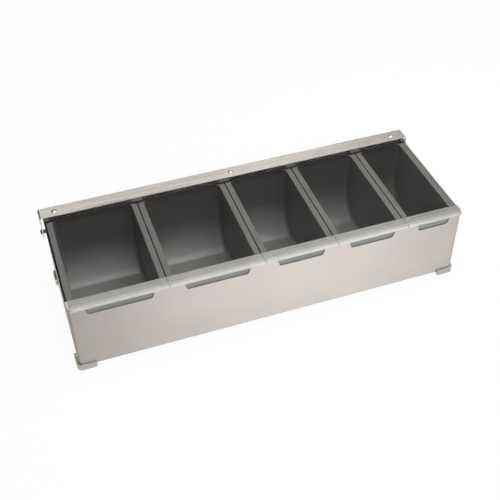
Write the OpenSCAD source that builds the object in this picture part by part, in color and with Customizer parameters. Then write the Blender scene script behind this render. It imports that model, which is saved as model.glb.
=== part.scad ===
// Counter-top condiment caddy: a brushed steel trough on four corner feet holds five
// lift-out plastic bins. Each bin has its own clear flip lid. The lids hinge on one rod
// that hangs under a steel rail, and the rail's two arms swing back on side pivots, so
// that the whole cover clears the bins.
// Frame: X runs along the trough, -Y is the front, Z is up from the feet.

/* [Bins] */
// Rim width of the two large bins
bin_w_large = 105; // [80:0.5:140]
// Rim width of the two medium bins
bin_w_medium = 83.2; // [65:0.1:110]
// Rim width of the small bin
bin_w_small = 65.4; // [58:0.1:90]
// Rim depth of every bin, front to back
bin_d = 149.2; // [125:0.1:190]
// Height of every bin, base to rim
bin_h = 89; // [70:1:130]
// Wall thickness of a bin
bin_t = 2; // [1.5:0.1:3]
// Width of the flat rim, wall included
rim_w = 6.7; // [5.5:0.1:9]
// Thickness of the flat rim
rim_t = 2.2; // [1.5:0.1:3]
// Outer corner radius of the flat rim
rim_r = 2.2; // [1:0.1:4]
// Thickness of the skirt that turns down from the rim
skirt_t = 1.8; // [1.2:0.1:2.4]
// How far the skirt reaches below the finger notches
skirt_over = 1.7; // [0.5:0.1:4]
// Inside radius where walls and floor of a bin meet
bin_fillet = 6; // [3:0.5:8]
// Inside radius of the scoop between back wall and floor
scoop_r = 46; // [30:1:60]
// Slope of the scoop to the back wall where they meet, in degrees
scoop_end = 8; // [4:1:15]
// Distance from the inside of the back wall to the flat floor
scoop_run = 29.5; // [22:0.5:36]
// Inside radius that eases the scoop into the floor
ease_r = 9; // [4:0.5:14]
// Gap between neighbouring rims
bin_gap = 1.1; // [0.5:0.1:3]

/* [Trough] */
// Sheet thickness of the trough
sheet_t = 1; // [0.7:0.1:1.8]
// Gap between the rims and the trough walls
wall_gap = 0.9; // [0.4:0.1:2]
// Outer bend radius of the trough
bend_r = 2.6; // [1.5:0.1:2.8]
// Depth of the finger notches in the front wall
notch_h = 12.3; // [8:0.1:20]
// Top width of the finger notch at a large bin
notch_w_large = 76; // [50:1:90]
// Top width of the finger notch at a medium bin
notch_w_medium = 58; // [40:1:62]
// Top width of the finger notch at the small bin
notch_w_small = 43; // [30:1:48]
// How far each notch side leans inward, top to bottom
notch_lean = 4; // [0:0.1:6]
// Corner radius at the bottom of a notch
notch_r = 3; // [1:0.1:4]

/* [Feet] */
// Length of each foot leg along its wall
foot_leg = 22; // [18:0.5:35]
// Height of the upright foot wall
foot_h = 8; // [6:0.1:14]
// Thickness of the upright foot wall
foot_t = 2.3; // [1.4:0.1:3]
// Thickness of the foot base under the trough
foot_base = 2.6; // [2:0.1:5]
// Gap between the foot wall and the trough wall
foot_gap = 0.3; // [0.3:0.1:1]
// Corner radius at the free ends of the foot wall
foot_end_r = 3.2; // [1:0.1:3.8]
// Radius of the upright edge at each free end of the foot wall
foot_nose_r = 1.8; // [0.5:0.1:2.2]
// Rivet distance from both trough faces at a foot
foot_rivet_in = 8; // [7.5:0.1:9]

/* [Lids] */
// Thickness of the clear lid plate
lid_t = 2; // [1.6:0.1:2.4]
// Seat gap between lid plate and rim
lid_seat = 0.3; // [0.2:0.05:0.5]
// Gap between neighbouring lids
lid_gap = 0.5; // [0.4:0.1:1]
// Depth of the frosted grip band at the front
band_d = 10.5; // [8:0.5:20]
// Height of the grip band above the plate
band_rise = 1; // [0.4:0.1:2]
// Plan radius of the front corners of a lid
lid_corner_r = 2.5; // [2:0.5:10]
// Gap between front lip and trough wall
lip_gap = 0.6; // [0.4:0.1:1.5]
// Thickness of the front lip
lip_t = 2.4; // [1.6:0.1:4]
// How far the lip hangs below the rim
lip_drop = 1.6; // [0.5:0.1:4]

/* [Lid hinge] */
// Rod diameter
rod_d = 2.4; // [2:0.1:2.6]
// Hinge barrel diameter
barrel_d = 4; // [3.8:0.1:4.4]
// Running clearance of barrel and arm bores, radial
run_clear = 0.06; // [0.03:0.01:0.1]
// Hinge axis in front of the rear trough face
hinge_inset = 9.8; // [9:0.1:14]
// Hinge axis above the rim
hinge_lift = 2.6; // [2.4:0.1:3]
// Length of an end knuckle; one between two lids is twice this plus the gap
knuckle_l = 6; // [4:0.5:12]
// Side gap between knuckle and barrel
knuckle_gap = 0.4; // [0.3:0.1:1]
// Thickness of the hinge strip under the rail
strip_t = 2; // [1.6:0.1:2]
// Depth of the hinge strip, front to back
strip_d = 14.6; // [12:0.1:16]

/* [Rail] */
// Width of the rail
rail_w = 17.4; // [16:0.1:22]
// Thickness of the rail and arms
rail_t = 1.2; // [1:0.1:2]
// Rail underside above the rim
rail_lift = 3.9; // [3.8:0.1:5]
// Front edge of the rail behind the hinge axis
rail_setback = 2; // [1.8:0.1:3]
// Gap between each arm and the trough side
arm_gap = 2.9; // [1.8:0.1:6]
// Outer bend radius between rail and arm
arm_bend_r = 2.6; // [1.8:0.1:4.4]
// Radius of the arm's round end
arm_end_r = 7.7; // [6:0.1:9]
// Rail rivet distance from the trough ends
rail_rivet_in = 14; // [10:0.5:24]
// Shank diameter of the rail and foot rivets
rivet_d = 3; // [2.4:0.1:3.4]
// Head diameter of the rail and foot rivets
rivet_head_d = 6.2; // [5.4:0.1:7]
// Head height of the rail and foot rivets
rivet_head_h = 1.3; // [0.8:0.1:1.6]

/* [Side pivots] */
// Pivot axis in front of the rear trough face
pivot_inset = 4.5; // [4.3:0.1:4.8]
// Pivot axis below the rim
pivot_drop = 16.65; // [14:0.05:24]
// Pivot shank diameter
pivot_d = 2.6; // [2:0.1:2.8]
// Pivot head diameter
pivot_head_d = 7; // [5:0.1:9]
// Pivot head height
pivot_head_h = 1.9; // [1.2:0.1:3]
// Spacer outer diameter
spacer_d = 4.4; // [3.8:0.1:5]

/* [Hidden] */
$fn = 64;

steel = "#cfcac4";
foot_steel = "#beb7ac";
plastic = "#7a7a76";
hinge_plastic = "#3a3a38";
clear = "#dfe3e0";

fit = 0.05;                 // radial clearance of a fixed shank in its hole
end_float = 0.15;           // side clearance of a swinging piece
cut = 1;                    // overshoot of a cutting shape

bin_w = [bin_w_large, bin_w_large, bin_w_medium, bin_w_medium, bin_w_small];
notch_w = [notch_w_large, notch_w_large, notch_w_medium, notch_w_medium, notch_w_small];
bins = len(bin_w);
function run(list, n) = n <= 0 ? 0 : list[n - 1] + run(list, n - 1);

side = sheet_t + wall_gap;
body_l = run(bin_w, bins) + (bins - 1) * bin_gap + 2 * side;
body_d = bin_d + 2 * side;
function bin_x0(i) = -body_l / 2 + side + run(bin_w, i) + i * bin_gap;
function bin_x1(i) = bin_x0(i) + bin_w[i];
function bin_mid(i) = bin_x0(i) + bin_w[i] / 2;
// A lid ends over the middle of the gap between two bins, and flush with the trough's ends.
function lid_x0(i) = i == 0 ? -body_l / 2 : bin_x0(i) - bin_gap / 2 + lid_gap / 2;
function lid_x1(i) = i == bins - 1 ? body_l / 2 : bin_x1(i) + bin_gap / 2 - lid_gap / 2;

floor_z = foot_base + sheet_t;
rim_z = floor_z + bin_h;
skirt_h = notch_h + skirt_over;         // rim top to the skirt's lower edge
lip_out = lip_gap + lip_t;

hinge_y = body_d - hinge_inset;
hinge_z = rim_z + hinge_lift;
barrel_r = barrel_d / 2;
strip_y = hinge_y + barrel_r + knuckle_gap;
strip_z = rim_z + rail_lift - strip_t;
rail_y = hinge_y + rail_setback;
rail_z = rim_z + rail_lift;
rail_x = body_l / 2 + arm_gap;          // inner face of an arm
pivot_y = body_d - pivot_inset;
pivot_z = rim_z - pivot_drop;
rivet_y = rail_y + rail_w / 2;
rivet_x = [-body_l / 2 + rail_rivet_in, 0, body_l / 2 - rail_rivet_in];
foot_out = foot_gap + foot_t;

// The whole part is centred front to back between the lids' lips and the rail's rear edge.
front_y = (lip_out - (rail_y + rail_w)) / 2;

// Places a shape drawn with Y = 0 on the trough's front face.
module placed() {
    translate([0, front_y, 0]) children();
}

// Rectangle with four true round corners, lower left corner at the origin.
module round_rect(w, d, r) {
    translate([r, 0]) square([w - 2 * r, d]);
    translate([0, r]) square([w, d - 2 * r]);
    for (x = [r, w - r], y = [r, d - r]) translate([x, y]) circle(r);
}

// Extrudes a side view drawn as (Y, Z) over a length along X.
module along_x(l) {
    rotate([90, 0, 90]) linear_extrude(l) children();
}

// Solid cylinder along X from x0.
module rod_x(x0, l, r) {
    translate([x0, 0, 0]) rotate([0, 90, 0]) cylinder(h = l, r = r);
}

// Rectangle with its two lower corners round, lower left corner at the origin.
module cup_rect(w, h, r) {
    translate([0, r]) square([w, h - r]);
    translate([r, 0]) square([w - 2 * r, r + cut]);
    for (x = [r, w - r]) translate([x, r]) circle(r);
}

// Block, w by d by h, whose upright edges and bottom edges are round with radius r: what
// the prisms of its plan, front view and side view share.
module soft_block(w, d, h, r) {
    intersection() {
        linear_extrude(h) round_rect(w, d, r);
        translate([0, d, 0]) rotate([90, 0, 0]) linear_extrude(d) cup_rect(w, h, r);
        along_x(w) cup_rect(d, h, r);
    }
}

// Side view of what a scoop takes off the inside of a bin: all that lies under one large
// arc up to the back wall, and under the small arc that eases it into the floor. `grow`
// gives the outside of a shell that much thicker.
module scoop_view(d, grow) {
    arc_y = d - scoop_r * cos(scoop_end);
    ease_y = d - scoop_run;
    dip = asin((ease_y - arc_y) / (scoop_r - ease_r));
    arc_z = ease_r + (scoop_r - ease_r) * cos(dip);
    join = [ease_y + (ease_r + grow) * sin(dip), ease_r - (ease_r + grow) * cos(dip)];
    far = d + grow + cut;
    low = -grow - cut;
    difference() {
        polygon([join, [arc_y, arc_z], [far, arc_z], [far, low], [join[0], low]]);
        translate([arc_y, arc_z]) circle(scoop_r + grow);
    }
    difference() {
        polygon([[ease_y, ease_r], join, [join[0], low], [ease_y, low]]);
        translate([ease_y, ease_r]) circle(ease_r + grow);
    }
}

// Inside of a bin, w by d by h, or the same shape `grow` bigger all round.
module tub(w, d, h, grow) {
    r = bin_fillet + grow;
    difference() {
        translate([-grow, -grow, -grow]) soft_block(w + 2 * grow, d + 2 * grow, h + grow, r);
        translate([-grow - cut, 0, 0]) along_x(w + 2 * grow + 2 * cut) scoop_view(d, grow);
    }
}

// Side view of a finger notch: a trapezoid open at the top with round lower corners.
// lean is the inward run of each side over the notch height.
module notch_view(w) {
    a = atan2(notch_lean, notch_h);             // side angle from upright
    half = w / 2 - notch_lean;                  // half width at the sharp lower corner
    back = notch_r * tan((90 - a) / 2);         // corner to tangent point
    arc = [for (k = [0:6]) -90 + (90 - a) * k / 6];
    right = [for (t = arc) [half - back + notch_r * cos(t), -notch_h + notch_r + notch_r * sin(t)]];
    left = [for (k = [6:-1:0]) [-right[k][0], right[k][1]]];
    over = notch_lean * cut / notch_h;
    polygon(concat(right, [[w / 2 + over, cut], [-w / 2 - over, cut]], left));
}

// Outside of the trough, open at height h, or the same shape `in` smaller.
module trough_block(in, h) {
    translate([-body_l / 2 + in, in, foot_base + in])
        soft_block(body_l - 2 * in, body_d - 2 * in, h - in, bend_r - in);
}

module housing() {
    color(steel) placed() difference() {
        trough_block(0, rim_z - foot_base);
        trough_block(sheet_t, rim_z - foot_base + cut);
        for (i = [0:bins - 1]) translate([bin_mid(i), sheet_t + cut, rim_z])
            rotate([90, 0, 0]) linear_extrude(sheet_t + 2 * cut) notch_view(notch_w[i]);
        for (x = [-body_l / 2 - cut, body_l / 2 - sheet_t - cut]) translate([0, pivot_y, pivot_z])
            rod_x(x, sheet_t + 2 * cut, pivot_d / 2 + fit);
        for (p = foot_rivet_places()) translate([p[0], p[1], foot_base - cut])
            cylinder(h = sheet_t + 2 * cut, r = rivet_d / 2 + fit);
    }
}

// Flat rim, w by d, with a skirt that turns down all round.
module rim(w, d) {
    translate([0, 0, bin_h - skirt_h]) difference() {
        linear_extrude(skirt_h) round_rect(w, d, rim_r);
        translate([skirt_t, skirt_t, -cut]) linear_extrude(skirt_h - rim_t + cut)
            round_rect(w - 2 * skirt_t, d - 2 * skirt_t, rim_r);
    }
}

module bin(i) {
    w_in = bin_w[i] - 2 * rim_w;
    d_in = bin_d - 2 * rim_w;
    color(plastic) placed() translate([bin_x0(i), side, floor_z]) difference() {
        union() {
            translate([rim_w, rim_w, bin_t]) tub(w_in, d_in, bin_h - bin_t, bin_t);
            rim(bin_w[i], bin_d);
        }
        translate([rim_w, rim_w, bin_t]) tub(w_in, d_in, bin_h - bin_t + cut, 0);
    }
}

// Side view of a lid, Y = 0 on the trough front and Z = 0 on the rims: a flat plate, a
// raised grip band and a front lip that the band rolls over into.
module lid_view() {
    band_z = lid_seat + lid_t + band_rise;
    nose_r = band_z - lid_seat;
    translate([nose_r - lip_out, lid_seat]) square([band_d - nose_r + lip_out, nose_r]);
    translate([band_d - cut, lid_seat]) square([hinge_y - band_d + cut, lid_t]);
    intersection() {
        translate([nose_r - lip_out, lid_seat]) circle(nose_r);
        translate([-lip_out, lid_seat]) square(nose_r);
    }
    translate([-lip_out, -lip_drop + lip_t / 2]) square([lip_t, lid_seat + lip_drop - lip_t / 2 + cut]);
    translate([-lip_out + lip_t / 2, -lip_drop + lip_t / 2]) circle(lip_t / 2);
}

module lid(i) {
    x0 = lid_x0(i);
    l = lid_x1(i) - x0;
    clear_r = barrel_r + knuckle_gap;
    end_l = knuckle_l + knuckle_gap;
    color(clear, 0.4) placed() translate([0, 0, rim_z]) difference() {
        union() {
            intersection() {
                translate([x0, 0, 0]) along_x(l) lid_view();
                translate([x0, -lip_out, -lip_drop - cut])
                    linear_extrude(2 * cut + lip_drop + hinge_lift + lid_t)
                        front_round(l, hinge_y + lip_out, lid_corner_r);
            }
            translate([0, hinge_y, hinge_lift]) rod_x(x0 + end_l, l - 2 * end_l, barrel_r);
        }
        for (x = [x0 - cut, x0 + l - end_l]) translate([x, hinge_y - clear_r, -cut])
            cube([end_l + cut, 2 * clear_r, 2 * cut + lid_t + lid_seat]);
        translate([0, hinge_y, hinge_lift]) rod_x(x0 - cut, l + 2 * cut, rod_d / 2 + run_clear);
    }
}

// Plan of a lid: a rectangle whose two front corners are round.
module front_round(w, d, r) {
    translate([0, r]) square([w, d - r]);
    translate([r, 0]) square([w - 2 * r, d]);
    for (x = [r, w - r]) translate([x, r]) circle(r);
}

// Arm blank seen from the side: a strip as wide as the rail that runs by straight
// tangents into a round end about the pivot.
function tangent_point(p, c, r, side) =
    let (v = p - c, l = norm(v), a = atan2(v[1], v[0]) + side * acos(r / l)) c + r * [cos(a), sin(a)];

module arm_view() {
    c = [pivot_y, pivot_z];
    top = rail_z + rail_t - arm_bend_r;
    front = [rail_y, top];
    rear = [rail_y + rail_w, top];
    polygon([front, rear, tangent_point(rear, c, arm_end_r, -1), c, tangent_point(front, c, arm_end_r, 1)]);
    translate(c) circle(arm_end_r);
}

module lid_rail() {
    flat_l = 2 * (rail_x + rail_t - arm_bend_r);
    color(steel) placed() difference() {
        union() {
            translate([-flat_l / 2, rail_y, rail_z]) cube([flat_l, rail_w, rail_t]);
            for (s = [-1, 1]) {
                translate([s * flat_l / 2, rail_y, rail_z + rail_t - arm_bend_r]) intersection() {
                    rotate([-90, 0, 0]) difference() {
                        cylinder(h = rail_w, r = arm_bend_r);
                        translate([0, 0, -cut]) cylinder(h = rail_w + 2 * cut, r = arm_bend_r - rail_t);
                    }
                    translate([s > 0 ? 0 : -arm_bend_r, 0, 0]) cube([arm_bend_r, rail_w, arm_bend_r]);
                }
                translate([s > 0 ? rail_x : -rail_x - rail_t, 0, 0]) along_x(rail_t) arm_view();
            }
        }
        translate([0, pivot_y, pivot_z]) {
            rod_x(rail_x - cut, rail_t + 2 * cut, pivot_d / 2 + run_clear);
            rod_x(-rail_x - rail_t - cut, rail_t + 2 * cut, pivot_d / 2 + run_clear);
        }
        for (x = rivet_x) translate([x, rivet_y, rail_z - cut])
            cylinder(h = rail_t + 2 * cut, r = rivet_d / 2 + fit);
    }
}

// Knuckles stand over the trough ends and over every gap between two lids.
module hinge_strip() {
    strip_l = body_l - 2 * sheet_t;
    ends = [-strip_l / 2, strip_l / 2];
    tail = rivet_head_h * 0.7;
    color(hinge_plastic) placed() difference() {
        union() {
            translate([-strip_l / 2, strip_y, strip_z]) cube([strip_l, strip_d, strip_t]);
            for (i = [0:bins]) {
                x0 = i == 0 ? ends[0] : lid_x1(i - 1) - knuckle_l;
                x1 = i == bins ? ends[1] : lid_x0(i) + knuckle_l;
                translate([0, hinge_y, hinge_z]) rod_x(x0, x1 - x0, barrel_r);
                translate([x0, hinge_y, strip_z]) cube([x1 - x0, strip_y - hinge_y + cut, barrel_r]);
            }
        }
        translate([0, hinge_y, hinge_z]) rod_x(-body_l / 2, body_l, rod_d / 2 + fit);
        for (x = rivet_x) translate([x, rivet_y, strip_z]) {
            translate([0, 0, -cut]) cylinder(h = strip_t + 2 * cut, r = rivet_d / 2 + fit);
            translate([0, 0, -cut]) cylinder(h = tail + cut, r = rivet_head_d / 2 + fit);
        }
    }
}

module hinge_rod() {
    color(steel) placed() translate([0, hinge_y, hinge_z])
        rod_x(-body_l / 2 + 2 * sheet_t, body_l - 4 * sheet_t, rod_d / 2);
}

// Domed rivet: a spherical cap of height h and diameter d on a shank that runs down by l
// to a flat tail of height t.
module rivet(d, h, l, t) {
    cap_r = (d * d / 4 + h * h) / (2 * h);
    intersection() {
        translate([0, 0, h - cap_r]) sphere(cap_r);
        cylinder(h = h, r = d);
    }
    translate([0, 0, -l]) cylinder(h = l + h / 2, r = rivet_d / 2);
    translate([0, 0, -l]) cylinder(h = t, r = d / 2);
}

module rail_rivets() {
    tail = rivet_head_h * 0.6;
    color(steel) placed() for (x = rivet_x) translate([x, rivet_y, rail_z + rail_t])
        rivet(rivet_head_d, rivet_head_h, rail_t + strip_t, tail);
}

// Side pivot: domed head outside the arm, shank through arm, spacer and trough wall, and a
// riveted tail inside the wall. s is -1 on the left and 1 on the right.
module pivot_pin(s) {
    head_x = arm_gap + rail_t + end_float;
    tail = wall_gap * 0.6;
    cap_r = (pivot_head_d * pivot_head_d / 4 + pivot_head_h * pivot_head_h) / (2 * pivot_head_h);
    color(foot_steel) placed() translate([s * body_l / 2, pivot_y, pivot_z]) rotate([0, s * 90, 0]) {
        translate([0, 0, -sheet_t]) cylinder(h = sheet_t + head_x + pivot_head_h / 2, r = pivot_d / 2);
        translate([0, 0, -sheet_t - tail]) cylinder(h = tail, r = pivot_d * 0.85);
        translate([0, 0, head_x]) intersection() {
            translate([0, 0, pivot_head_h - cap_r]) sphere(cap_r);
            cylinder(h = pivot_head_h, r = pivot_head_d);
        }
    }
}

module pivot_spacer(s) {
    color(foot_steel) placed() translate([s * body_l / 2, pivot_y, pivot_z]) rotate([0, s * 90, 0])
        difference() {
            cylinder(h = arm_gap - end_float, r = spacer_d / 2);
            translate([0, 0, -cut]) cylinder(h = arm_gap + 2 * cut, r = pivot_d / 2 + fit);
        }
}

function foot_rivet_places() = [for (x = [-1, 1], y = [foot_rivet_in, body_d - foot_rivet_in])
    [x * (body_l / 2 - foot_rivet_in), y]];

// Square of side l whose corner at the origin is round.
module corner_plan(l, r) {
    translate([r, 0]) square([l - r, l]);
    translate([0, r]) square([l, l - r]);
    translate([r, r]) circle(r);
}

// View of a foot from the side: a rectangle whose two far corners are round.
module foot_view() {
    square([foot_leg - foot_end_r, foot_h]);
    translate([0, foot_end_r]) square([foot_leg, foot_h - 2 * foot_end_r]);
    for (z = [foot_end_r, foot_h - foot_end_r]) translate([foot_leg - foot_end_r, z]) circle(foot_end_r);
}

// A foot drawn for the front left corner, with its outer corner at the origin: an upright
// wall that bends round the corner, and a quarter disc under the trough floor. Its plan,
// front view and side view are all cut with round ends.
module foot_shape() {
    r = foot_t + foot_gap + bend_r;
    difference() {
        intersection() {
            union() {
                linear_extrude(foot_h) difference() {
                    corner_plan(foot_leg, r);
                    translate([foot_t, foot_t]) corner_plan(foot_leg, r - foot_t);
                }
                intersection() {
                    cylinder(h = foot_base, r = foot_leg * 0.9);
                    translate([foot_t / 2, foot_t / 2, 0]) linear_extrude(foot_base)
                        corner_plan(foot_leg, r - foot_t / 2);
                }
            }
            linear_extrude(foot_h) round_rect(foot_leg, foot_leg, foot_nose_r);
            translate([0, foot_leg, 0]) rotate([90, 0, 0]) linear_extrude(foot_leg) foot_view();
            along_x(foot_leg) foot_view();
        }
        translate([foot_out + foot_rivet_in, foot_out + foot_rivet_in, 0]) {
            translate([0, 0, -cut]) cylinder(h = foot_base + 2 * cut, r = rivet_d / 2 + fit);
            translate([0, 0, -cut]) cylinder(h = foot_base / 2 + cut, r = rivet_head_d / 2 + fit);
        }
    }
}

// sx and sy are 1 on the left and front, -1 on the right and rear.
module foot(sx, sy) {
    x = -sx * (body_l / 2 + foot_out);
    y = sy > 0 ? -foot_out : body_d + foot_out;
    color(foot_steel) placed() translate([x, y, 0])
        mirror([sx > 0 ? 0 : 1, 0, 0]) mirror([0, sy > 0 ? 0 : 1, 0]) foot_shape();
}

module foot_rivets() {
    tail = foot_base / 2 - rivet_head_h / 4;
    color(foot_steel) placed() for (p = foot_rivet_places())
        translate([p[0], p[1], floor_z])
            rivet(rivet_head_d, rivet_head_h, sheet_t + foot_base / 2 + tail, tail);
}

housing();
bin(0);  // bin_1
bin(1);  // bin_2
bin(2);  // bin_3
bin(3);  // bin_4
bin(4);  // bin_5
lid(0);  // lid_1
lid(1);  // lid_2
lid(2);  // lid_3
lid(3);  // lid_4
lid(4);  // lid_5
lid_rail();
hinge_strip();
hinge_rod();
rail_rivets();
pivot_pin(-1);  // pivot_pin_left
pivot_pin(1);  // pivot_pin_right
pivot_spacer(-1);  // pivot_spacer_left
pivot_spacer(1);  // pivot_spacer_right
foot(1, 1);  // foot_front_left
foot(-1, 1);  // foot_front_right
foot(1, -1);  // foot_rear_left
foot(-1, -1);  // foot_rear_right
foot_rivets();
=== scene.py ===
"""Looks for the five-bin condiment caddy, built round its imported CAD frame.

Everything is in metres in the CAD's own frame: X along the trough, -Y the front, Z up from
the feet. The steel, hinge and foot nodes keep their CAD shape and get a finish each. The
bins and the lids' frosted grips are new surfaces, worked out as whole numpy arrays.
"""

import bpy
import numpy as np
from mathutils import Matrix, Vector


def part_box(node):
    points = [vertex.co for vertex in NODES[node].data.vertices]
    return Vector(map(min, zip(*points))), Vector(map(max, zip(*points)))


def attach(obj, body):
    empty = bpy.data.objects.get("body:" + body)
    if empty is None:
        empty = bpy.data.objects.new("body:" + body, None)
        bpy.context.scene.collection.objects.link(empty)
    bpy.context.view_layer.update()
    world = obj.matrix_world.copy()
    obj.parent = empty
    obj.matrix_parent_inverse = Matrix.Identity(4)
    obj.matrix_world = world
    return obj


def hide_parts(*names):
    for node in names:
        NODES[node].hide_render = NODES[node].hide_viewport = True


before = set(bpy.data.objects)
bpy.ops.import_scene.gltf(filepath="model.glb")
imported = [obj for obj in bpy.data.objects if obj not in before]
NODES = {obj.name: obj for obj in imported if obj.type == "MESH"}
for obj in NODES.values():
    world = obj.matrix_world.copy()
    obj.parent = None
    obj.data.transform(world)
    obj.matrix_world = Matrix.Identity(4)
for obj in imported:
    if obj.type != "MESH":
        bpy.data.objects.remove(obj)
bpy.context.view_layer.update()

MM = 0.001

# Sizes that the new surfaces share with the CAD
WALL_T = 2.0 * MM           # bin wall
RIM_W = 6.7 * MM            # flat rim of a bin, wall included
RIM_T = 2.2 * MM            # rim thickness
RIM_R = 2.2 * MM            # rim corner radius in plan
SKIRT_H = 14.0 * MM         # rim skirt, rim top to its lower edge
SKIRT_T = 1.8 * MM
FILLET = 6.0 * MM           # where bin walls and floor meet
SCOOP_R = 46.0 * MM         # scoop between floor and back wall
SCOOP_RUN = 29.5 * MM       # back wall to flat floor
SCOOP_END = 8.0             # degrees short of upright where the scoop meets the back wall
EASE_R = 9.0 * MM           # eases the scoop into the floor
LID_SEAT = 0.3 * MM         # closed lid above the rim
LID_T = 2.0 * MM
BAND_D = 10.5 * MM          # frosted grip behind the lip's overhang
BAND_RISE = 1.0 * MM
LIP_T = 2.4 * MM
LIP_OUT = 3.0 * MM          # overhang of the lip in front of the trough

# Sizes of their own
RIM_SOFT = 0.7 * MM         # edge round along the top of the rim
SKIRT_R = 1.0 * MM          # inner corner radius of the skirt in plan
FRONT_FILL = 0.6 * MM       # how far the skirt bulges towards the front wall
END_FILL = 0.85 * MM        # and that of the last bin towards the right end wall
BAND_R = 0.5 * MM           # top edge round at the back of the grip
LIP_DOWN = 0.35 * MM        # how far the grip's lip reaches below the clear one
GRIP_SKIN = 0.05 * MM       # the grip stands just proud of the clear lid
GRIP_MEET = 0.18 * MM       # and closes most of the gap to a neighbouring lid
CORNER_OUTER = (3.5 * MM, 0.45 * MM)    # grip's corner radius and end round, ends of the row
CORNER_INNER = (0.8 * MM, 0.15 * MM)    # the same beside a neighbouring lid
SMOOTH_BELOW = 35.0         # degrees between faces that still shade as one surface
BINS = range(1, 6)


# ---------------------------------------------------------------- mesh making

def add_mesh(name, verts, faces):
    """Puts points (n, 3) and quads (m, 4) into a mesh, welds doubles, turns faces outward."""
    mesh = bpy.data.meshes.new(name)
    mesh.vertices.add(len(verts))
    mesh.vertices.foreach_set("co", np.asarray(verts, np.float32).ravel())
    mesh.loops.add(faces.size)
    mesh.loops.foreach_set("vertex_index", faces.astype(np.int32).ravel())
    mesh.polygons.add(len(faces))
    mesh.polygons.foreach_set("loop_start", np.arange(0, faces.size, 4, dtype=np.int32))
    mesh.polygons.foreach_set("loop_total", np.full(len(faces), 4, np.int32))
    mesh.update(calc_edges=True)
    piece = bpy.data.objects.new(name, mesh)
    bpy.context.scene.collection.objects.link(piece)
    bpy.ops.object.select_all(action="DESELECT")
    bpy.context.view_layer.objects.active = piece
    piece.select_set(True)
    bpy.ops.object.mode_set(mode="EDIT")
    bpy.ops.mesh.select_all(action="SELECT")
    bpy.ops.mesh.remove_doubles(threshold=2e-6)
    bpy.ops.mesh.dissolve_degenerate(threshold=2e-6)
    bpy.ops.mesh.normals_make_consistent(inside=False)
    bpy.ops.object.mode_set(mode="OBJECT")
    bpy.ops.object.shade_smooth_by_angle(angle=np.radians(SMOOTH_BELOW))
    return piece


def grid_faces(rows, cols, first=0, wrap=False):
    """Quads of a rows-by-cols grid whose vertex (i, j) is first + i * cols + j."""
    j = np.arange(cols if wrap else cols - 1)
    i = np.arange(rows - 1)[:, None]
    k = (j + 1) % cols
    quads = np.stack([i * cols + j, i * cols + k, (i + 1) * cols + k, (i + 1) * cols + j], -1)
    return quads.reshape(-1, 4) + first


def arc(centre, r, a, b, n):
    """n points (n, 2) of a circle: centre + r (cos t, sin t), t evenly from a to b degrees."""
    t = np.radians(np.linspace(a, b, n))
    return np.stack([centre[0] + r * np.cos(t), centre[1] + r * np.sin(t)], 1)


# ---------------------------------------------------------------- bins

def scoop_path(d, h, grow):
    """Side view (y, z) of a bin's inside with its inward normals, front rim to back rim.

    Upright front, quarter turn of the fillet radius, flat floor, easing arc, scoop arc that
    ends a few degrees short of upright, back wall. The other joins are tangents. grow moves
    each point that far against its normal, which gives the outside of the shell.
    """
    arc_y = d - SCOOP_R * np.cos(np.radians(SCOOP_END))
    ease_y = d - SCOOP_RUN
    dip = np.degrees(np.arcsin((ease_y - arc_y) / (SCOOP_R - EASE_R)))
    arc_z = EASE_R + (SCOOP_R - EASE_R) * np.cos(np.radians(dip))
    runs = [
        ((FILLET, FILLET), FILLET, 180, 270, 10),
        ((ease_y, EASE_R), EASE_R, 270, 270 + dip, 8),
        ((arc_y, arc_z), SCOOP_R, 270 + dip, 360 - SCOOP_END, 28),
    ]
    up = np.linspace(h, FILLET, 8)[:-1]
    back = np.linspace(arc_z - SCOOP_R * np.sin(np.radians(SCOOP_END)), h, 7)[1:]
    points = [np.stack([0 * up, up], 1)]
    normals = [np.tile([1.0, 0.0], (len(up), 1))]
    for centre, r, a, b, n in runs:
        run = arc(centre, r, a, b, n)
        points.append(run)
        normals.append((np.array(centre) - run) / r)
    points.append(np.stack([d + 0 * back, back], 1))
    normals.append(np.tile([-1.0, 0.0], (len(back), 1)))
    floor = 1 + sum(len(p) for p in points[:2])
    p, n = np.concatenate(points), np.concatenate(normals)
    flat = np.linspace(p[floor - 2], p[floor - 1], 10)[1:-1]
    p = np.concatenate([p[:floor - 1], flat, p[floor - 1:]])
    n = np.concatenate([n[:floor - 1], np.tile([0.0, 1.0], (len(flat), 1)), n[floor - 1:]])
    return p - grow * n, n


def tub_rows(w, d, h, grow):
    """Grid (t, s) of a tub's wall: the side view's path t, and across it s.

    Across, the surface climbs a side wall, turns into the path's own surface by a quarter
    round of the fillet radius, crosses the width, and mirrors that on the other side.
    """
    p, n = scoop_path(d, h, grow)
    r = FILLET + grow
    turn = np.radians(np.linspace(0, 90, 9))
    step = np.r_[0, np.cumsum(np.hypot(*np.diff(p, axis=0).T))]
    u = step / step[-1]
    deep = p + r * n
    rim = np.stack([-grow + r + (d + 2 * grow - 2 * r) * u, np.full(len(u), h)], 1)
    climb = np.linspace(1, 0, 4)[:-1]
    wall = deep[:, None] * (1 - climb)[None, :, None] + rim[:, None] * climb[None, :, None]
    round_x = -grow + r * (1 - np.cos(turn))
    round_yz = deep[:, None] - r * np.sin(turn)[None, :, None] * n[:, None]
    mid_x = np.linspace(round_x[-1], w - round_x[-1], 8)[1:-1]
    left_x = np.r_[np.full(len(climb), -grow), round_x]
    left_yz = np.concatenate([wall, round_yz], 1)
    mid_yz = np.repeat(p[:, None], len(mid_x), 1)
    x = np.r_[left_x, mid_x, w - left_x[::-1]]
    yz = np.concatenate([left_yz, mid_yz, left_yz[:, ::-1]], 1)
    return np.concatenate([np.broadcast_to(x[None, :, None], yz.shape[:2] + (1,)), yz], 2)


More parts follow.
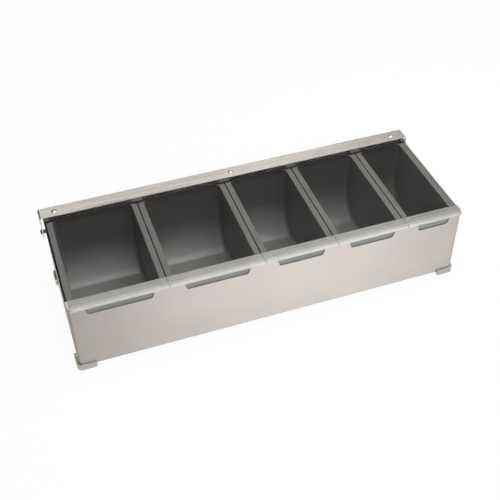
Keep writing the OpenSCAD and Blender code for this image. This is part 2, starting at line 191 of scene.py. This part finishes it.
def rim_loop(grid):
    """The grid's edge as one closed loop (n, 3), from the front row round by the right."""
    return np.concatenate([grid[0, :-1], grid[:-1, -1], grid[-1, :0:-1], grid[:0:-1, 0]])


def squared(loop, low, high, r):
    """The loop pushed out to a rectangle low..high with corner radius r, in plan.

    Each point keeps its direction from the nearer corner's centre where it turns a corner,
    and moves straight out elsewhere, stretched so that straight runs map to straight runs.
    """
    a, b = loop[:, :2].min(0), loop[:, :2].max(0)
    ri = FILLET
    xy = loop[:, :2]
    inner = np.clip(xy, a + ri, b - ri)
    out = xy - inner
    size = np.linalg.norm(out, axis=1, keepdims=True)
    unit = out / np.maximum(size, 1e-12)
    centre = low + r + (inner - a - ri) / (b - a - 2 * ri) * (high - low - 2 * r)
    return centre + unit * r


def moulded_bin(i, finish):
    """One bin as a closed moulded shell: tub inside, flat rim with a skirt, tub outside."""
    low, high = (np.array(c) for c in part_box(f"bin_{i}"))
    w, d = high[:2] - low[:2] - 2 * RIM_W
    h = high[2] - low[2] - WALL_T
    soft = RIM_SOFT
    origin = np.array([low[0] + RIM_W, low[1] + RIM_W, low[2] + WALL_T])
    inside = tub_rows(w, d, h - soft, 0) + origin
    outside = tub_rows(w, d, h - RIM_T, WALL_T) + origin
    start = rim_loop(inside)
    under = rim_loop(outside)
    end_fill = END_FILL if i == BINS[-1] else 0
    edge = squared(start, low[:2] - (0, FRONT_FILL), high[:2] + (end_fill, 0), RIM_R)
    inner_edge = squared(start, low[:2] + SKIRT_T, high[:2] - SKIRT_T, SKIRT_R)
    top = high[2]

    def ring(plan, z):
        return np.concatenate([plan, np.full((len(plan), 1), z)], 1)

    def between(k):
        return start[:, :2] * (1 - k) + edge * k

    quarter = np.radians([22.5, 45, 67.5])
    rings = [start]
    rings += [ring(between(soft * (1 - np.cos(q)) / RIM_W), top - soft * (1 - np.sin(q)))
              for q in quarter]
    rings += [ring(between(k), top) for k in (soft / RIM_W, 0.5, 1 - soft / RIM_W)]
    rings += [ring(between(1 - soft * (1 - np.sin(q)) / RIM_W), top - soft * (1 - np.cos(q)))
              for q in quarter]
    rings += [ring(edge, z) for z in (top - soft, top - SKIRT_H)]
    rings += [ring(inner_edge, z) for z in (top - SKIRT_H, top - RIM_T)]
    rings += [under]
    rings = np.stack(rings)
    grids = [inside, outside]
    verts = [g.reshape(-1, 3) for g in grids] + [rings.reshape(-1, 3)]
    starts = np.cumsum([0] + [len(v) for v in verts])
    faces = [grid_faces(*g.shape[:2], first=s) for g, s in zip(grids, starts)]
    faces.append(grid_faces(*rings.shape[:2], first=starts[2], wrap=True))
    piece = add_mesh(f"bin_{i}_moulding", np.concatenate(verts), np.concatenate(faces))
    piece.data.materials.append(finish)
    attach(piece, "trough")
    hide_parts(f"bin_{i}")


# ---------------------------------------------------------------- lid grips

def frosted_grip(i, finish):
    """The frosted front of a lid: one profile (y, z) carried along X.

    The profile runs along the top from back to front, over the nose, down the lip and back
    underneath. Towards each end it draws back by r (1 - sin a) while x closes in by
    r (1 - cos a), which turns the front corners round in plan, and its last rings shrink to
    soften the end edges.
    """
    low, high = (np.array(c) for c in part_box(f"lid_{i}"))
    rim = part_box(f"bin_{i}")[1][2]
    x0 = low[0] - (GRIP_SKIN if i == 1 else GRIP_MEET)
    x1 = high[0] + (GRIP_SKIN if i == BINS[-1] else GRIP_MEET)
    front = low[1] - GRIP_SKIN
    body_front = low[1] + LIP_OUT
    top = rim + LID_SEAT + LID_T + BAND_RISE + GRIP_SKIN
    bottom = rim + LID_SEAT - GRIP_SKIN
    back = body_front + BAND_D + GRIP_SKIN
    nose_r = top - bottom
    lip_r = LIP_T / 2 + GRIP_SKIN
    nose = arc((front + nose_r, top - nose_r), nose_r, 90, 180, 12)
    tip = arc((front + lip_r, low[2] - LIP_DOWN + lip_r), lip_r, 180, 360, 13)
    crown = np.stack([np.linspace(back - BAND_R, nose[0, 0], 8)[:-1], np.full(7, top)], 1)
    heel = arc((back - BAND_R, top - BAND_R), BAND_R, 0, 90, 4)[:-1]
    under = np.stack([np.linspace(tip[-1, 0], back, 9), np.full(9, bottom)], 1)
    loop = np.concatenate([heel, crown, nose, tip, under])
    tangent = np.roll(loop, -1, 0) - np.roll(loop, 1, 0)
    normal = np.stack([tangent[:, 1], -tangent[:, 0]], 1)
    normal /= np.linalg.norm(normal, axis=1, keepdims=True)
    if np.mean(np.sum(normal * (loop.mean(0) - loop), 1)) < 0:
        normal = -normal
    turn = np.radians(np.linspace(0, 90, 13))
    # 1 in front, and falling to 0 between 5.5 and 1.5 mm before the back
    draw = np.clip((back - 1.5 * MM - loop[:, 0]) / (4 * MM), 0, 1)

    def rings_of_end(side):
        """Rings from the end's cap inwards; side is -1 at the left end."""
        x_end = x0 if side < 0 else x1
        outer = i == (1 if side < 0 else BINS[-1])
        r, soft = CORNER_OUTER if outer else CORNER_INNER
        rings = []
        for q in np.radians([0, 30, 60, 90]):
            shape = loop + normal * soft * (1 - np.sin(q))
            y = shape[:, 0] + draw * r
            x = x_end - side * soft * (1 - np.cos(q))
            rings.append(np.stack([np.full(len(y), x), y, shape[:, 1]], 1))
        for a in turn[1:]:
            y = loop[:, 0] + draw * r * (1 - np.sin(a))
            x = x_end - side * (soft + r * (1 - np.cos(a)))
            rings.append(np.stack([np.full(len(y), x), y, loop[:, 1]], 1))
        return rings

    rings = np.stack(rings_of_end(-1) + rings_of_end(1)[::-1])
    count = len(loop)
    faces = [grid_faces(*rings.shape[:2], wrap=True)]
    pair = np.arange(count // 2 - 1)
    cap = np.stack([pair, pair + 1, count - 2 - pair, count - 1 - pair], 1)
    faces += [cap, cap + (len(rings) - 1) * count]
    piece = add_mesh(f"lid_{i}_frosted_grip", rings.reshape(-1, 3), np.concatenate(faces))
    piece.data.materials.append(finish)
    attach(piece, f"lid_{i}")


# ---------------------------------------------------------------- materials

def linear(code):
    """sRGB hex such as "C9C3BD" to linear RGBA."""
    c = np.array([int(code[k:k + 2], 16) for k in (0, 2, 4)]) / 255
    c = np.where(c <= 0.04045, c / 12.92, ((c + 0.055) / 1.055) ** 2.4)
    return tuple(c) + (1.0,)


def add(tree, kind, links=None, **settings):
    """Adds a node, sets its properties and sockets, and links {input: (node, output)}.

    second is the second number of a Math node, and stops are a colour ramp's two ends as
    (position, hex).
    """
    node = tree.nodes.new(kind)
    for key, value in settings.items():
        if key == "second":
            node.inputs[1].default_value = value
        elif key == "stops":
            for element, (at, code) in zip(node.color_ramp.elements, value):
                element.position, element.color = at, linear(code)
        elif hasattr(node, key):
            setattr(node, key, value)
        else:
            node.inputs[key.replace("_", " ")].default_value = value
    for key, (source, output) in (links or {}).items():
        tree.links.new(source.outputs[output], node.inputs[key])
    return node


def new_material(name):
    """A material with an empty tree; returns it with its tree."""
    material = bpy.data.materials.new(name)
    material.use_nodes = True
    material.node_tree.nodes.clear()
    return material, material.node_tree


def brushed_steel(name, dark, light, grain, rough, shaded_end_tops=False):
    """Brushed stainless sheet: grit lines a few tenths of a millimetre apart that run for
    centimetres. They spread the gloss across the grain and mottle the tone slightly.
    grain is the streak size in mm along X, Y and Z. The last argument paints shade on the top
    edges of the end walls."""
    material, tree = new_material(name)
    place = add(tree, "ShaderNodeTexCoord")
    scale = [1000.0 / g for g in grain]
    lines = add(tree, "ShaderNodeMapping", {"Vector": (place, "Object")}, Scale=scale)
    streak = add(tree, "ShaderNodeTexNoise", {"Vector": (lines, 0)}, Scale=1.0, Detail=3.0,
                 Roughness=0.6)
    cloud = add(tree, "ShaderNodeTexNoise", {"Vector": (place, "Object")}, Scale=14.0,
                Detail=2.0, Roughness=0.5)
    both = add(tree, "ShaderNodeMath", {0: (streak, "Fac"), 1: (cloud, "Fac")}, operation="ADD")
    half = add(tree, "ShaderNodeMath", {0: (both, 0)}, operation="MULTIPLY", second=0.5)
    tone = add(tree, "ShaderNodeValToRGB", {"Fac": (half, 0)}, stops=[(0.3, dark), (0.7, light)])
    gloss = add(tree, "ShaderNodeMapRange", {"Value": (streak, "Fac")}, From_Min=0.3,
                From_Max=0.7, To_Min=rough - 0.05, To_Max=rough + 0.05)
    bump = add(tree, "ShaderNodeBump", {"Height": (streak, "Fac")}, Strength=0.06, Distance=0.0002)
    surface = add(tree, "ShaderNodeNewGeometry")
    across = add(tree, "ShaderNodeVectorMath", {0: (surface, "Normal")},
                 operation="CROSS_PRODUCT", second=(1.0, 0.2, 0.0))
    colour = shade_end_wall_tops(tree, place, tone) if shaded_end_tops else (tone, "Color")
    steel = add(tree, "ShaderNodeBsdfPrincipled",
                {"Base Color": colour, "Roughness": (gloss, 0), "Normal": (bump, 0),
                 "Tangent": (across, 0)}, Metallic=1.0, Anisotropic=0.8)
    add(tree, "ShaderNodeOutputMaterial", {"Surface": (steel, 0)})
    return material


def shade_end_wall_tops(tree, place, tone):
    """The tone's colour, but with painted shade on top of the end walls: nearly black at the
    left end, mid grey at the right."""
    parts = add(tree, "ShaderNodeSeparateXYZ", {0: (place, "Object")})
    left_to_right = add(tree, "ShaderNodeMapRange", {"Value": (parts, "X")}, From_Min=-0.2,
                        From_Max=0.2, To_Min=0.0, To_Max=1.0)
    # painted shade: nearly black at the left end, mid grey at the right
    edge = add(tree, "ShaderNodeValToRGB", {"Fac": (left_to_right, 0)},
               stops=[(0.0, "2A2523"), (1.0, "958D87")])
    apart = add(tree, "ShaderNodeMath", {0: (parts, "X")}, operation="ABSOLUTE")
    end = add(tree, "ShaderNodeMapRange", {"Value": (apart, 0)}, From_Min=0.2228,
              From_Max=0.2234, To_Min=0.0, To_Max=1.0)
    high = add(tree, "ShaderNodeMapRange", {"Value": (parts, "Z")}, From_Min=0.06,
               From_Max=0.065, To_Min=0.0, To_Max=1.0)
    level = by_slope(tree, place, "Z", 0.0, 1.0)
    both = add(tree, "ShaderNodeMath", {0: (end, 0), 1: (high, 0)}, operation="MULTIPLY")
    share = add(tree, "ShaderNodeMath", {0: (both, 0), 1: (level, 0)}, operation="MULTIPLY")
    a, b, result = 6, 7, 2      # the colour sockets of a Mix node
    mixed = add(tree, "ShaderNodeMix", {0: (share, 0), a: (tone, 0), b: (edge, 0)},
                data_type="RGBA")
    return mixed, result


def cast_nickel(name, dark, light, rough):
    """Satin fitting, nickel-plated or turned from steel: faint pits, drawn about half a
    millimetre across so that they show, keep its gloss soft. The two colours say which
    metal it is; nickel is slightly yellow."""
    material, tree = new_material(name)
    place = add(tree, "ShaderNodeTexCoord")
    pits = add(tree, "ShaderNodeTexNoise", {"Vector": (place, "Object")}, Scale=1800.0,
               Detail=2.0, Roughness=0.5)
    tone = add(tree, "ShaderNodeValToRGB", {"Fac": (pits, "Fac")},
               stops=[(0.35, dark), (0.65, light)])
    gloss = add(tree, "ShaderNodeMapRange", {"Value": (pits, "Fac")}, From_Min=0.3,
                From_Max=0.7, To_Min=rough - 0.05, To_Max=rough + 0.05)
    bump = add(tree, "ShaderNodeBump", {"Height": (pits, "Fac")}, Strength=0.04, Distance=0.0001)
    nickel = add(tree, "ShaderNodeBsdfPrincipled",
                 {"Base Color": (tone, "Color"), "Roughness": (gloss, 0), "Normal": (bump, 0)},
                 Metallic=1.0)
    add(tree, "ShaderNodeOutputMaterial", {"Surface": (nickel, 0)})
    return material


def bin_plastic():
    """Injection-moulded polypropylene: spark-eroded texture, here 0.9 mm coarse so that it
    shows, which gives a satin sheen, with a slight flow mottle over centimetres."""
    material, tree = new_material("moulded_grey_bin_plastic")
    place = add(tree, "ShaderNodeTexCoord")
    spark = add(tree, "ShaderNodeTexNoise", {"Vector": (place, "Object")},
                Scale=1.0 / (0.9 * MM), Detail=2.0, Roughness=0.6)
    flow = add(tree, "ShaderNodeTexNoise", {"Vector": (place, "Object")}, Scale=22.0,
               Detail=2.0, Roughness=0.5)
    tone = add(tree, "ShaderNodeValToRGB", {"Fac": (flow, "Fac")},
               stops=[(0.35, "717270"), (0.65, "777875")])
    gloss = add(tree, "ShaderNodeMapRange", {"Value": (spark, "Fac")}, From_Min=0.3,
                From_Max=0.7, To_Min=0.33, To_Max=0.43)
    bump = add(tree, "ShaderNodeBump", {"Height": (spark, "Fac")}, Strength=0.12,
               Distance=0.0001)
    plastic = add(tree, "ShaderNodeBsdfPrincipled",
                  {"Base Color": (tone, "Color"), "Roughness": (gloss, 0), "Normal": (bump, 0)},
                  IOR=1.49)
    add(tree, "ShaderNodeOutputMaterial", {"Surface": (plastic, 0)})
    return material


def hinge_plastic():
    """Moulded black hinge plastic with a matt spark-eroded texture, drawn 0.9 mm coarse so
    that it shows. Ahead of the rail its knuckles are painted dark grey instead of black: painted
    light where they come out of the rail's shade."""
    material, tree = new_material("moulded_black_hinge_plastic")
    place = add(tree, "ShaderNodeTexCoord")
    parts = add(tree, "ShaderNodeSeparateXYZ", {0: (place, "Object")})
    spark = add(tree, "ShaderNodeTexNoise", {"Vector": (place, "Object")}, Scale=1100.0,
                Detail=2.0, Roughness=0.6)
    # painted light: dark grey ahead of the rail's front edge, black under the rail
    out_of_rail_shade = add(tree, "ShaderNodeMapRange", {"Value": (parts, "Y")}, From_Min=0.0650,
               From_Max=0.0655, To_Min=0.0, To_Max=1.0)
    tone = add(tree, "ShaderNodeValToRGB", {"Fac": (out_of_rail_shade, 0)},
               stops=[(0.0, "484846"), (1.0, "171716")])
    bump = add(tree, "ShaderNodeBump", {"Height": (spark, "Fac")}, Strength=0.12,
               Distance=0.0001)
    plastic = add(tree, "ShaderNodeBsdfPrincipled",
                  {"Base Color": (tone, "Color"), "Normal": (bump, 0)}, Roughness=0.5, IOR=1.49,
                  Specular_IOR_Level=0.15)
    add(tree, "ShaderNodeOutputMaterial", {"Surface": (plastic, 0)})
    return material


def by_slope(tree, place, axis, away, along):
    """A value that goes from away, on faces that turn from the axis, to along, on those
    that face it, in object space."""
    parts = add(tree, "ShaderNodeSeparateXYZ", {0: (place, "Normal")})
    level = add(tree, "ShaderNodeMath", {0: (parts, axis)}, operation="ABSOLUTE")
    return add(tree, "ShaderNodeMapRange", {"Value": (level, 0)}, From_Min=0.25, From_Max=0.95,
               To_Min=away, To_Max=along)


def clear_acrylic():
    """Clear moulded acrylic: takes a little off the light, mirrors more the flatter it is
    looked along, and carries a faint painted highlight on its upright side edges. Its mirror is
    faded, as painted shade, under the rail and on the side faces, where the next lid stands close."""
    material, tree = new_material("clear_moulded_acrylic")
    place = add(tree, "ShaderNodeTexCoord")
    waves = add(tree, "ShaderNodeTexNoise", {"Vector": (place, "Object")}, Scale=30.0,
                Detail=1.0, Roughness=0.4)
    bump = add(tree, "ShaderNodeBump", {"Height": (waves, "Fac")}, Strength=0.03, Distance=0.0005)
    gloss = add(tree, "ShaderNodeMapRange", {"Value": (waves, "Fac")}, From_Min=0.3,
                From_Max=0.7, To_Min=0.07, To_Max=0.11)
    through = add(tree, "ShaderNodeBsdfTransparent", Color=linear("F8F7F7"))
    mirror = add(tree, "ShaderNodeBsdfGlossy", {"Roughness": (gloss, 0), "Normal": (bump, 0)},
                 Color=(1, 1, 1, 1))
    facing = add(tree, "ShaderNodeLayerWeight", {"Normal": (bump, 0)}, Blend=0.5)
    steep = add(tree, "ShaderNodeMath", {0: (facing, "Facing")}, operation="POWER", second=5.0)
    parts = add(tree, "ShaderNodeSeparateXYZ", {0: (place, "Object")})
    # painted shade: the mirror falls to a 0.15 share under the rail
    clear_of_rail = add(tree, "ShaderNodeMapRange", {"Value": (parts, "Y")}, From_Min=0.0575,
                        From_Max=0.0605, To_Min=1.0, To_Max=0.15)
    angle = add(tree, "ShaderNodeMapRange", {"Value": (steep, 0)}, To_Min=0.02, To_Max=1.0)
    angle = add(tree, "ShaderNodeMath", {0: (angle, 0), 1: (clear_of_rail, 0)},
                operation="MULTIPLY")
    # painted shade: the mirror falls on the side faces, between neighbouring lids
    ends = by_slope(tree, place, "X", 1.0, 0.1)
    angle = add(tree, "ShaderNodeMath", {0: (angle, 0), 1: (ends, 0)}, operation="MULTIPLY")
    body = add(tree, "ShaderNodeMixShader", {0: (angle, 0), 1: (through, 0), 2: (mirror, 0)})
    # painted highlight: a faint pale layer on the side faces
    painted_edge_light = add(tree, "ShaderNodeBsdfPrincipled", {"Normal": (bump, 0)}, Roughness=0.25, IOR=1.49,
               Base_Color=linear("EFF0ED"))
    edge = by_slope(tree, place, "X", 0.0, 0.02)
    whole = add(tree, "ShaderNodeMixShader", {0: (edge, 0), 1: (body, 0), 2: (painted_edge_light, 0)})
    add(tree, "ShaderNodeOutputMaterial", {"Surface": (whole, 0)})
    return material


def frosted_acrylic():
    """The same acrylic with a blasted texture, drawn about 1 mm coarse so that it shows,
    which scatters light to a pale grey. It is densest where the nose and lip turn upright
    and at the outer ends of the row, and its tone falls off towards the right end as painted
    shade."""
    material, tree = new_material("frosted_moulded_acrylic")
    place = add(tree, "ShaderNodeTexCoord")
    blast = add(tree, "ShaderNodeTexNoise", {"Vector": (place, "Object")}, Scale=900.0,
                Detail=2.0, Roughness=0.6)
    veil = add(tree, "ShaderNodeTexNoise", {"Vector": (place, "Object")}, Scale=40.0,
               Detail=2.0, Roughness=0.5)
    tone = add(tree, "ShaderNodeValToRGB", {"Fac": (veil, "Fac")},
               stops=[(0.3, "C2C1BC"), (0.7, "C8C7C2")])
    bump = add(tree, "ShaderNodeBump", {"Height": (blast, "Fac")}, Strength=0.05, Distance=0.0001)
    gloss = add(tree, "ShaderNodeMapRange", {"Value": (blast, "Fac")}, From_Min=0.3,
                From_Max=0.7, To_Min=0.38, To_Max=0.5)
    parts = add(tree, "ShaderNodeSeparateXYZ", {0: (place, "Object")})
    fade = add(tree, "ShaderNodeMapRange", {"Value": (parts, "Y")}, From_Min=-0.0828,
               From_Max=-0.0693, To_Min=0.42, To_Max=0.28)
    slope = by_slope(tree, place, "Y", 0.0, 0.78)
    dense = add(tree, "ShaderNodeMath", {0: (fade, 0), 1: (slope, 0)}, operation="MAXIMUM")
    apart = add(tree, "ShaderNodeMath", {0: (parts, "X")}, operation="ABSOLUTE")
    outer = add(tree, "ShaderNodeMapRange", {"Value": (apart, 0)}, From_Min=0.2212,
                From_Max=0.2236, To_Min=0.0, To_Max=0.75)
    cover = add(tree, "ShaderNodeMath", {0: (dense, 0), 1: (outer, 0)}, operation="MAXIMUM")
    # painted shade: the tone falls to 0.8 over the last 95 mm towards the right end
    dim = add(tree, "ShaderNodeMapRange", {"Value": (parts, "X")}, From_Min=0.12,
              From_Max=0.215, To_Min=1.0, To_Max=0.8)
    tone = add(tree, "ShaderNodeHueSaturation", {"Color": (tone, "Color"), "Value": (dim, 0)})
    frost = add(tree, "ShaderNodeBsdfPrincipled",
                {"Base Color": (tone, "Color"), "Normal": (bump, 0), "Roughness": (gloss, 0),
                 "Alpha": (cover, 0)}, IOR=1.49)
    add(tree, "ShaderNodeOutputMaterial", {"Surface": (frost, 0)})
    return material


def finish_node(name, material):
    """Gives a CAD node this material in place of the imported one."""
    mesh = NODES[name].data
    mesh.materials.clear()
    mesh.materials.append(material)


# ---------------------------------------------------------------- pieces

# the trough's end wall tops get painted shade
trough_steel = brushed_steel("brushed_stainless_trough", "A39D98", "ACA6A1",
                             (90, 0.9, 0.35), 0.45, shaded_end_tops=True)
rail_steel = brushed_steel("brushed_stainless_rail", "D8D2CB", "DED8D1", (90, 0.4, 0.9), 0.3)
foot_nickel = cast_nickel("satin_nickel_feet", "B2ABA0", "B8B1A6", 0.32)
pin_steel = cast_nickel("polished_stainless_pins", "9A9792", "A6A39E", 0.3)
pivot_steel = cast_nickel("turned_steel_pivots", "40362F", "5C5048", 0.3)
rod_steel = cast_nickel("blackened_steel_rod", "1E1D1C", "2A2827", 0.5)
grey_plastic = bin_plastic()
black_plastic = hinge_plastic()
clear = clear_acrylic()
frosted = frosted_acrylic()

finish_node("housing", trough_steel)
finish_node("lid_rail", rail_steel)
finish_node("hinge_strip", black_plastic)
finish_node("hinge_rod", rod_steel)
finish_node("rail_rivets", pin_steel)
for side in ("left", "right"):
    finish_node(f"pivot_pin_{side}", pivot_steel)
    finish_node(f"pivot_spacer_{side}", pivot_steel)
    finish_node(f"foot_front_{side}", foot_nickel)
    finish_node(f"foot_rear_{side}", foot_nickel)
finish_node("foot_rivets", foot_nickel)
for i in BINS:
    finish_node(f"lid_{i}", clear)
    moulded_bin(i, grey_plastic)
    frosted_grip(i, frosted)


# ---------------------------------------------------------------- studio

def seen(tree):
    """1 for rays from the camera, off gloss and through glass, 0 for the rest."""
    path = add(tree, "ShaderNodeLightPath")
    direct = add(tree, "ShaderNodeMath", {0: (path, "Is Camera Ray"), 1: (path, "Is Glossy Ray")},
                 operation="MAXIMUM")
    return add(tree, "ShaderNodeMath", {0: (direct, 0), 1: (path, "Is Transmission Ray")},
               operation="MAXIMUM")


def flat_card(name, corner, along, up, material):
    """A rectangle from one corner along two edges: corner, + along, + both, + up."""
    c, a, u = (np.array(v, float) for v in (corner, along, up))
    card = add_mesh(name, np.stack([c, c + a, c + a + u, c + u]), np.array([[0, 1, 2, 3]]))
    card.data.materials.append(material)
    return card


def studio_floor():
    """A wide plain floor, nearly white where it is seen, which keeps a faint shadow."""
    material, tree = new_material("white_sweep")
    pale = add(tree, "ShaderNodeBsdfDiffuse", Color=linear("F4F4F3"))
    white = add(tree, "ShaderNodeEmission", Color=(1, 1, 1, 1), Strength=1.0)
    share = add(tree, "ShaderNodeMath", {0: (seen(tree), 0)}, operation="MULTIPLY", second=0.93)
    mixed = add(tree, "ShaderNodeMixShader", {0: (share, 0), 1: (pale, 0), 2: (white, 0)})
    add(tree, "ShaderNodeOutputMaterial", {"Surface": (mixed, 0)})
    floor = flat_card("studio_floor", (-6, -6, 0), (12, 0, 0), (0, 12, 0), material)


def placed_by(name, data, right, up, back, place):
    """Links a lamp or a camera at place, turned so that its axes are right, up and back."""
    item = bpy.data.objects.new(name, data)
    bpy.context.scene.collection.objects.link(item)
    rows = [[right[k], up[k], back[k], place[k]] for k in range(3)]
    item.matrix_world = Matrix(rows + [[0, 0, 0, 1]])
    return item


def studio_light(name, place, aim, size, power):
    """A soft rectangular lamp at place that faces aim."""
    lamp = bpy.data.lights.new(name, "AREA")
    lamp.shape = "RECTANGLE"
    lamp.size, lamp.size_y = size
    lamp.energy = power
    ahead = np.array(aim, float) - np.array(place, float)
    ahead /= np.linalg.norm(ahead)
    side = np.cross(ahead, [0, 0, 1.0])
    side /= np.linalg.norm(side)
    placed_by(name, lamp, side, np.cross(side, ahead), -ahead, place)


def studio_world():
    """Dim surroundings that are white where they are seen."""
    world = bpy.data.worlds.new("studio_world")
    bpy.context.scene.world = world
    world.use_nodes = True
    tree = world.node_tree
    tree.nodes.clear()
    dim = add(tree, "ShaderNodeBackground", Color=linear("FAFAFA"), Strength=0.1)
    white = add(tree, "ShaderNodeBackground", Color=(1, 1, 1, 1), Strength=1.0)
    mixed = add(tree, "ShaderNodeMixShader", {0: (seen(tree), 0), 1: (dim, 0), 2: (white, 0)})
    add(tree, "ShaderNodeOutputWorld", {"Surface": (mixed, 0)})


def studio_flag(name, corner, along, up):
    """A black cloth card from one corner along two edges. It keeps part of the gloss dark,
    and lets the camera look through."""
    material, tree = new_material(f"{name}_cloth")
    cloth = add(tree, "ShaderNodeBsdfDiffuse", Color=linear("0A0A0A"))
    open_view = add(tree, "ShaderNodeBsdfTransparent", Color=(1, 1, 1, 1))
    path = add(tree, "ShaderNodeLightPath")
    mixed = add(tree, "ShaderNodeMixShader", {0: (path, "Is Camera Ray"), 1: (cloth, 0),
                                              2: (open_view, 0)})
    add(tree, "ShaderNodeOutputMaterial", {"Surface": (mixed, 0)})
    card = flat_card(name, corner, along, up, material)


def camera():
    """Long lens from the left front and above."""
    cam = bpy.data.cameras.new("camera")
    cam.sensor_fit = "HORIZONTAL"
    cam.sensor_width = 36.0
    cam.lens = 61.48
    cam.clip_start = 0.01
    cam.clip_end = 50.0
    right = (0.944466, -0.328420, -0.011111)
    up = (0.232879, 0.645089, 0.727755)
    back = (-0.231842, -0.689928, 0.685747)
    place = (-0.23575, -0.69639, 0.72778)
    bpy.context.scene.camera = placed_by("camera", cam, right, up, back, place)


studio_floor()
studio_world()
studio_light("overhead_softbox", (0.1, -0.065, 1.35), (0.1, 0, 0), (0.9, 0.66), 15.2)
studio_light("overhead_right_softbox", (0.75, -0.1, 1.35), (0.225, 0, 0), (0.6, 0.4), 3.8)
studio_light("overhead_rear_softbox", (0.7, 0.35, 1.35), (0.2, 0, 0), (0.9, 0.4), 3.2)
studio_light("overhead_rear_left_softbox", (-0.45, 0.35, 1.35), (-0.135, 0, 0), (0.6, 0.4), 2.2)
studio_light("low_front_softbox", (0.31, -1.1, 0.12), (0.09, 0, 0.05), (0.68, 0.22), 7.4)
studio_light("high_left_softbox", (-0.5, -1.1, 0.84), (-0.15, 0, 0.05), (0.8, 0.3), 8.2)
studio_flag("rear_flag", (-0.9, 0.95, 0.45), (2.6, 0, 0), (0, 0.5, 1.3))
studio_flag("front_left_flag", (-1.3, -0.9, 0.0), (1.0, 0, 0), (0, 0, 1.1))
studio_flag("left_flag", (-0.6, -0.2, 0.0), (0, 1.4, 0), (0, 0, 0.8))
studio_flag("left_floor_card", (-1.1, -1.1, 0.002), (0.95, 0, 0), (0, 0.7, 0))
camera()
bpy.context.scene.view_settings.view_transform = "Standard"
